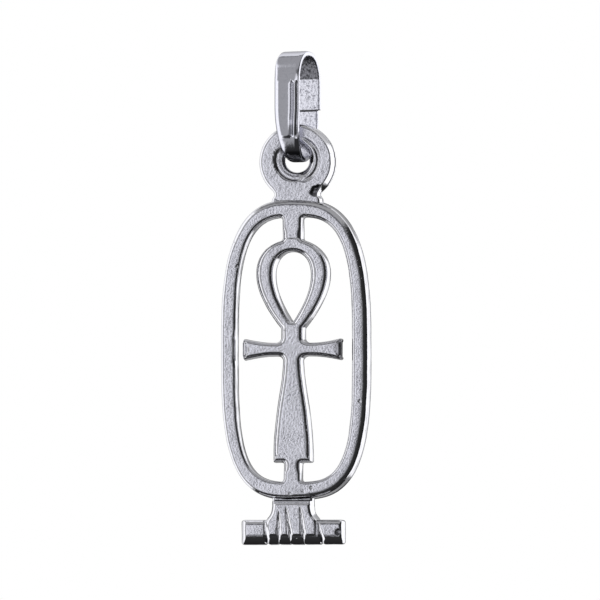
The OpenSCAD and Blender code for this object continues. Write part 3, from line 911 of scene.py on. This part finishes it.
# %% Tarnished places
px, py, pz = points.T
# Painted shade darkens the foot of each wall at the back and the walls at the ends of the arms
wall_shade = eased(py, plate_t / 2 - 0.42, plate_t / 2 - 0.1) * eased(-normals[:, 1], -0.9, -0.5)
arm_end_shade = read_chart(arm_end_chart, px, pz) * eased(normals[:, 0], 0.45, 0.75)
write_mask(pendant_mesh, "wall_shade", np.maximum(wall_shade, arm_end_shade))
# Dirt lies in the marks, and painted shade darkens the ledge in the eye and the step between the rim and the
# neck
in_mark = sum(eased(-mark_gap(px, py, pz, mark), -0.06, 0.0) for mark in marks[:dirty_marks])
ledge_x, ledge_z = px - hole_x, pz - hole_z
in_hole = eased(-np.hypot(ledge_x, ledge_z), -1.5, -1.35) * (py < -0.1)
ledge_shade = in_hole * eased(-ledge_x * 0.8 - ledge_z * 0.6, 0.3, 0.8)
from_step = (read_chart(rim_chart, px, pz) + 0.22) / 0.2
step_shade = np.exp(-(from_step**2)) * eased(pz, rim_top - 1.1, rim_top - 0.6) * (normals[:, 1] < 0)
dirt_and_painted_shade = np.maximum(0.9 * in_mark, 0.6 * ledge_shade)
write_mask(pendant_mesh, "dirt_and_painted_shade", np.maximum(dirt_and_painted_shade, step_shade * 0.8))

# %% Pendant
pendant_mesh.normals_split_custom_set_from_vertices(normals.tolist())
pendant = bpy.data.objects.new("pendant_silver", pendant_mesh)
bpy.context.scene.collection.objects.link(pendant)
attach(pendant, "pendant")
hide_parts("pendant")
print("pendant of", len(pendant_mesh.polygons), "faces rides the swinging body")

# %% [markdown]
# ## Bail
# The bail is a strap bent round into a long loop, with an open seam in its back. A strap is best made by
# sweeping its section along a line, because its bevels, its flute and its land keep their place all the way.
# The line comes first. Its crown is a little squarer than a circle, and below the seam it steps in.

# %% Line of the strap
strap_t, strap_w, strap_tip_w, strap_taper = 0.42, 1.98, 1.3, 1.4
bail_h, bail_d = bail_high[2] - bail_low[2], 4.05
crown_h, crown_square, bow_h = 2.5, 2.3, 3.4
seam_gap, seam_step = 0.02, 0.4
seam_z, strap_low = strap_t - 4.24, strap_t - bail_h


def bail_line(steps=90, rings=260):
    """Side view of the strap's outer face, from the seam over the crown and back to it."""
    half, shoulder, hip = bail_d / 2, strap_t - crown_h, strap_t - bail_h + bow_h
    up_back = [(half, seam_z + seam_gap / 2 + (shoulder - seam_z) * s) for s in np.arange(0, 0.99, 0.05)]
    a = np.linspace(0, np.pi, 2 * steps + 1)
    crown = np.column_stack([
        half * signed_power(np.cos(a), 2 / crown_square),
        shoulder + crown_h * signed_power(np.sin(a), 2 / crown_square)])
    down_front = [(-half, shoulder + (hip - shoulder) * s) for s in np.arange(0.02, 0.99, 0.02)]
    a = np.linspace(0, np.pi, 2 * steps)[:-1]
    z = hip - bow_h * np.sin(a)
    lift = (z - strap_low) / (seam_z - strap_low)
    bow = np.column_stack([-half * np.cos(a) - np.where(a > np.pi / 2, seam_step * lift**2, 0), z])
    bow = [p for p in bow if not (p[0] > 0 and p[1] > seam_z - seam_gap / 2 - 0.02)]
    line = np.vstack([up_back, crown, down_front, bow, [(half - seam_step, seam_z - seam_gap / 2)]])
    # Even spacing keeps the sweep's rings apart from each other
    reach = np.concatenate([[0], np.cumsum(np.linalg.norm(np.diff(line, axis=0), axis=1))])
    evenly = np.linspace(0, reach[-1], rings)
    return np.column_stack([np.interp(evenly, reach, line[:, k]) for k in (0, 1)])


strap_line = bail_line()
strap_length = np.linalg.norm(np.diff(strap_line, axis=0), axis=1).sum()
print("the strap is", round(float(strap_length), 1), "mm long")

# %% [markdown]
# The strap's front has a pressed flute near its right edge and a raised land beside it, and its left edge was
# worn rounder than the right one. All of that is in the section, which changes a little on the way.

# %% Section of the strap
flute_depth, flute_drop, flute_len, land_rise = 0.13, 2.2, 4.3, 0.05


def strap_section(half, flute, worn=1.0):
    """Section as rows of place across and depth from the outer face, for shares of flute and wear."""
    return np.array([
        (-half + 0.04, strap_t), (half - 0.04, strap_t), (half, strap_t - 0.04),
        (half, 0.1), (half - 0.03, 0.05),
        (half - 0.07, 0.03 + 0.17 * flute), (half - 0.26, 0.02 * flute), (half - 0.31, 0.01 * flute),
        (half - 0.49, flute_depth * flute), (half - 0.56, 0.12 * flute), (half - 0.6, -land_rise * flute),
        (-half + 0.1 + 0.34 * worn, -land_rise * flute), (-half + 0.06 + 0.14 * worn, 0.04),
        (-half + 0.02, 0.06 + 0.09 * worn), (-half, 0.12 + 0.14 * worn), (-half, strap_t - 0.04)])


def softened(section, rounds=2):
    """Closed line whose corners are cut, which rounds them over."""
    for _ in range(rounds):
        following = np.roll(section, -1, axis=0)
        cuts = [section * 0.8 + following * 0.2, section * 0.2 + following * 0.8]
        section = np.stack(cuts, 1).reshape(-1, 2)
    return section


plain_section = softened(strap_section(strap_w / 2, 0))
print("section of", len(plain_section), "points")

# %% Sweep
flute_top = strap_t - flute_drop
rings = []
for k, (y, z) in enumerate(strap_line):
    ahead = strap_line[min(k + 1, len(strap_line) - 1)] - strap_line[max(k - 1, 0)]
    ahead /= np.linalg.norm(ahead)
    out = np.array([ahead[1], -ahead[0]])
    # The flute is on the front alone, and the strap narrows below its seam
    flute = float(y < 0) * eased(flute_top - z, 0, 0.25) * eased(z - flute_top + flute_len, 0, 0.25)
    fall = max(0, (seam_z - z) / (seam_z - strap_low))
    half = (strap_w - (strap_w - strap_tip_w) * fall**strap_taper) / 2
    worn = 1 - eased(z, -1.5, -0.4)
    section = softened(strap_section(half, flute, worn))
    rings.append(np.column_stack([section[:, 0], y - out[0] * section[:, 1], z - out[1] * section[:, 1]]))
strap = np.array(rings)
ring_count, across = strap.shape[:2]
print("strap of", ring_count, "rings with", across, "points each")

# %% Bail mesh
bail_turn = math.radians(18)
cos_turn, sin_turn = math.cos(bail_turn), math.sin(bail_turn)
strap_points = np.stack([
    strap[..., 0] * cos_turn + strap[..., 1] * sin_turn,
    -strap[..., 0] * sin_turn + strap[..., 1] * cos_turn,
    strap[..., 2]], -1)
strap_faces = []
for start in range(0, (ring_count - 1) * across, across):
    for i in range(across):
        after = (i + 1) % across
        strap_faces.append((start + i, start + across + i, start + across + after, start + after))
strap_faces.append(tuple(range(across)))
strap_faces.append(tuple(range(ring_count * across - 1, (ring_count - 1) * across - 1, -1)))
bail_mesh = bpy.data.meshes.new("bail_strap")
bail_mesh.from_pydata((strap_points.reshape(-1, 3) * MM).tolist(), [], strap_faces)
bail_mesh.polygons.foreach_set("use_smooth", np.ones(len(strap_faces), bool))
bail_mesh.set_sharp_from_angle(angle=math.radians(50))
print("bail mesh:", len(strap_faces), "faces")

# %% [markdown]
# The wheel polished the outside of the strap, but it didn't reach the inner face, the seam or the place
# under the crown. The lowest bend looks black because of what it mirrors, and a painted dark reflection
# stands for that, as a thin painted dark line does along the strap's left edge. On a sweep such places are
# easy to find: by the ring and by the place in the section.

# %% Masks of the bail
height = strap[..., 2].ravel()
from_end = np.minimum(np.arange(ring_count), np.arange(ring_count)[::-1])
inner = np.tile((plain_section[:, 1] > strap_t * 0.8).astype(float), ring_count)
left_edge = (plain_section[:, 0] < -strap_w / 2 + 0.12) & (plain_section[:, 1] < 0.3)
write_mask(bail_mesh, "seam", np.repeat(from_end < 1, across))
write_mask(bail_mesh, "inner_face", inner)
# Painted dark reflection: a thin dark line along the strap's left edge
write_mask(bail_mesh, "painted_edge_reflection", np.tile(left_edge.astype(float), ring_count) * 0.8)
write_mask(bail_mesh, "under_crown", inner * eased(height, -1.66, -1.5) * 0.6)
# Painted dark reflection on the outside of the lowest bend
write_mask(bail_mesh, "low_bend", (1 - inner) * eased(-height, 6.85, 7.1) * 0.85)

# %% Bail
bail = bpy.data.objects.new("bail_strap", bail_mesh)
bpy.context.scene.collection.objects.link(bail)
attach(bail, "bail")
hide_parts("bail")
print("bail of", len(bail_mesh.polygons), "faces stays on its own body")

# %% [markdown]
# ## Silver finishes
# Both pieces share the same effects, each with its own strength: the fine grain that casting and tumbling
# leave, small casting pits, and the dark tarnish that stays where no cloth reaches. They could be painted as
# pictures, but noise has no seams and stays sharp up close. Each is a node group, so that one change reaches
# both metals.

# %% Node groups
def new_group(name, inputs, outputs):
    """A shader node group with sockets from tables, its input node and its output node."""
    tree = bpy.data.node_groups.new(name, "ShaderNodeTree")
    tree.interface.new_socket("Vector", in_out="INPUT", socket_type="NodeSocketVector")
    for socket_name, value in inputs.items():
        socket = tree.interface.new_socket(socket_name, in_out="INPUT", socket_type="NodeSocketFloat")
        socket.default_value = value
    for socket_name in outputs:
        tree.interface.new_socket(socket_name, in_out="OUTPUT", socket_type="NodeSocketFloat")
    return tree, tree.nodes.new("NodeGroupInput").outputs, tree.nodes.new("NodeGroupOutput").inputs


print("helper for node groups ready")


# %% Cast grain
def cast_grain():
    """Fine matt grain, stronger in some patches than in others, as tumbled metal is."""
    tree, given, put = new_group("cast_grain", {"Size": 7.0, "Patchiness": 0.5}, ["Height", "Shade"])
    place = given["Vector"]
    fine = add_node(tree, "ShaderNodeTexNoise", Vector=place, Scale=given["Size"], Detail=1.5, Roughness=0.6)
    patches = add_node(tree, "ShaderNodeTexNoise", Vector=place, Scale=1.1, Detail=3.0, Roughness=0.6)
    spread = remap(tree, patches.outputs["Fac"], 0.35, 0.65)
    weakened = math_node(tree, "MULTIPLY", spread, given["Patchiness"])
    strength = math_node(tree, "SUBTRACT", 1.0, weakened)
    centred = math_node(tree, "SUBTRACT", fine.outputs["Fac"], 0.5)
    tree.links.new(math_node(tree, "MULTIPLY", centred, strength), put["Height"])
    shade = math_node(tree, "ADD", math_node(tree, "MULTIPLY", centred, 0.6), 0.5)
    tree.links.new(shade, put["Shade"])
    return tree


effects = {"cast_grain": cast_grain()}
print("cast grain of", len(effects["cast_grain"].nodes), "nodes")


# %% Cast pits
def cast_pits():
    """Small round pits of different sizes, one in some of the cells of a random pattern."""
    tree, given, put = new_group("cast_pits", {"Size": 2.2, "Amount": 0.5}, ["Mask", "Depth"])
    largest, smallest = 0.16, 0.03
    cells = add_node(tree, "ShaderNodeTexVoronoi", Vector=given["Vector"], Scale=given["Size"])
    choice = add_node(tree, "ShaderNodeSeparateColor", Color=cells.outputs["Color"])
    radius = math_node(tree, "MULTIPLY", choice.outputs["Green"], largest)
    kept = math_node(tree, "LESS_THAN", choice.outputs["Red"], given["Amount"])
    rim = math_node(tree, "ADD", radius, smallest)
    bowl = remap(tree, math_node(tree, "DIVIDE", cells.outputs["Distance"], rim), 1.0, 0.3)
    mask = math_node(tree, "MULTIPLY", bowl, kept)
    tree.links.new(mask, put["Mask"])
    tree.links.new(math_node(tree, "MULTIPLY", mask, -1.0), put["Depth"])
    return tree


effects["cast_pits"] = cast_pits()
print("cast pits of", len(effects["cast_pits"].nodes), "nodes")


# %% Tarnish
def tarnish():
    """Dark film in hollows, broken up by noise."""
    tree, given, put = new_group("tarnish", {"Recess": 0.0, "Start": 0.2, "Full": 0.6}, ["Mask"])
    unrest = 0.5
    noise = add_node(tree, "ShaderNodeTexNoise", Vector=given["Vector"], Scale=5.0, Detail=3.0)
    centred = math_node(tree, "SUBTRACT", noise.outputs["Fac"], 0.5)
    shifted = math_node(tree, "ADD", given["Recess"], math_node(tree, "MULTIPLY", centred, unrest))
    tree.links.new(remap(tree, shifted, given["Start"], given["Full"]), put["Mask"])
    return tree


effects["tarnish"] = tarnish()
print("effects:", sorted(effects))


# %% Material helpers
def silver_base(name):
    """A new metal with its node tree, its shader and the place on the object in millimetres."""
    material = bpy.data.materials.new(name)
    material.use_nodes = True
    tree = material.node_tree
    shader = tree.nodes["Principled BSDF"]
    shader.inputs["Metallic"].default_value = 1.0
    place = add_node(tree, "ShaderNodeTexCoord").outputs["Object"]
    return material, tree, shader, vector_node(tree, "SCALE", Vector=place, Scale=1 / MM)


def effect(tree, name, **inputs):
    """One of the shared effects, placed with its own values."""
    return add_node(tree, "ShaderNodeGroup", label=name, settings={"node_tree": effects[name]}, **inputs)


def mask_of(tree, name):
    """A mask that the mesh carries."""
    return add_node(tree, "ShaderNodeAttribute", settings={"attribute_name": name}).outputs["Fac"]


def by_mask(tree, mask, off, on):
    """A number that goes from one value to another with a mask."""
    return remap(tree, mask, 0.0, 1.0, off, on)


def strongest(tree, *masks):
    """The largest of a few masks."""
    most = masks[0]
    for mask in masks[1:]:
        most = math_node(tree, "MAXIMUM", most, mask)
    return most


print("material helpers ready")

# %% [markdown]
# ## Cast silver
# The faces of the casting are satin from tumbling, with grain and pits. Its round-overs and walls are
# smoother, and its corners are dark. One colour with one roughness would look like plastic, so both follow
# the masks.

# %% Cast silver
def cast_silver():
    """Satin faces with grain and pits, smoother round-overs and walls, and dark corners."""
    bright, satin = (0.93, 0.93, 0.96, 1), (0.87, 0.875, 0.95, 1)
    speck, black = (0.35, 0.35, 0.4, 1), (0.07, 0.07, 0.08, 1)
    material, tree, shader, place = silver_base("cast_silver")
    flat = mask_of(tree, "flat_face")
    grain = effect(tree, "cast_grain", Vector=place, Size=6.5, Patchiness=0.4)
    pits = effect(tree, "cast_pits", Vector=place, Size=3.2, Amount=0.45)
    # Tarnish in the hollows and dirt in the marks, with painted shade on the eye's ledge and in the step
    # under the neck, all darkened through one film
    hollows = strongest(tree, mask_of(tree, "recess"), mask_of(tree, "dirt_and_painted_shade"))
    film = effect(tree, "tarnish", Vector=place, Recess=hollows, Start=0.55, Full=1.05)
    # Colour
    speckle = math_node(tree, "MULTIPLY", remap(tree, grain.outputs["Shade"], 0.5, 0.36), flat)
    speckled = math_node(tree, "MULTIPLY", speckle, 0.4)
    pitted = math_node(tree, "MULTIPLY", pits.outputs["Mask"], 0.6)
    # Painted shade at the foot of the walls at the back and on the ends of the arms
    painted_wall_shade = math_node(tree, "MULTIPLY", mask_of(tree, "wall_shade"), 0.9)
    dark = strongest(tree, pitted, film.outputs["Mask"], painted_wall_shade)
    shade = mix_colour(tree, speckled, mix_colour(tree, flat, bright, satin), speck)
    tree.links.new(mix_colour(tree, dark, shade, black), shader.inputs["Base Color"])
    # Roughness
    rough = math_node(tree, "ADD", by_mask(tree, flat, 0.06, 0.24), math_node(tree, "MULTIPLY", dark, 0.1))
    tree.links.new(rough, shader.inputs["Roughness"])
    # Relief
    grain_height = math_node(tree, "MULTIPLY", grain.outputs["Height"], by_mask(tree, flat, 0.08, 0.19))
    relief = math_node(tree, "ADD", grain_height, math_node(tree, "MULTIPLY", pits.outputs["Depth"], 0.25))
    bump = add_node(tree, "ShaderNodeBump", Height=relief, Strength=1.0, Distance=0.0001)
    tree.links.new(bump.outputs[0], shader.inputs["Normal"])
    return material


pendant_mesh.materials.append(cast_silver())
print("pendant wears", pendant_mesh.materials[0].name)

# %% [markdown]
# ## Polished silver
# The outside of the strap is bright, with only a breath of grain. Its inner face was left as rolled: rougher,
# speckled, and a little dished, so that it mirrors the bright side of the tent. The dish is far too slight to
# model, so it is a lean of the shading normal.

# %% Polished silver
def polished_silver():
    """Bright strap with a fine grain, and a rougher inner face that no wheel reached."""
    bright, speck, black = (0.86, 0.865, 0.94, 1), (0.3, 0.3, 0.35, 1), (0.06, 0.06, 0.07, 1)
    dish_lean = (-0.36, 0.0, 0.0)
    material, tree, shader, place = silver_base("polished_silver")
    inner_face = mask_of(tree, "inner_face")
    grain = effect(tree, "cast_grain", Vector=place, Size=5.0, Patchiness=0.3)
    pits = effect(tree, "cast_pits", Vector=place, Size=3.0, Amount=0.3)
    hollows = strongest(tree, mask_of(tree, "seam"), mask_of(tree, "under_crown"))
    film = effect(tree, "tarnish", Vector=place, Recess=hollows, Start=0.3, Full=0.7)
    # Colour
    speckle = remap(tree, grain.outputs["Shade"], 0.5, 0.36)
    speckled = math_node(tree, "MULTIPLY", speckle, by_mask(tree, inner_face, 0.12, 0.85))
    pitted = math_node(tree, "MULTIPLY", pits.outputs["Mask"], by_mask(tree, inner_face, 0.15, 0.8))
    # Pits and tarnish, with the painted dark line on the strap's left edge
    worn = strongest(tree, pitted, mask_of(tree, "painted_edge_reflection"), film.outputs["Mask"])
    # Adds the painted dark reflection on the lowest bend
    dark = strongest(tree, worn, mask_of(tree, "low_bend"))
    shade = mix_colour(tree, speckled, bright, speck)
    tree.links.new(mix_colour(tree, dark, shade, black), shader.inputs["Base Color"])
    # Roughness
    tree.links.new(by_mask(tree, inner_face, 0.1, 0.32), shader.inputs["Roughness"])
    # Relief
    lean = add_node(tree, "ShaderNodeVectorMath", settings={"operation": "ADD"})
    set_socket(tree, lean.inputs[0], add_node(tree, "ShaderNodeNewGeometry").outputs["Normal"])
    set_socket(tree, lean.inputs[1], vector_node(tree, "SCALE", Vector=dish_lean, Scale=inner_face))
    level = vector_node(tree, "NORMALIZE", Vector=lean.outputs[0])
    relief = math_node(tree, "MULTIPLY", grain.outputs["Height"], by_mask(tree, inner_face, 0.06, 1.0))
    bump = add_node(tree, "ShaderNodeBump", Height=relief, Normal=level, Strength=1.0, Distance=0.00008)
    tree.links.new(bump.outputs[0], shader.inputs["Normal"])
    return material


bail_mesh.materials.append(polished_silver())
print("bail wears", bail_mesh.materials[0].name)

# %% [markdown]
# ## Last update
# The view layer is brought up to date.

# %% Last update
bpy.context.view_layer.update()
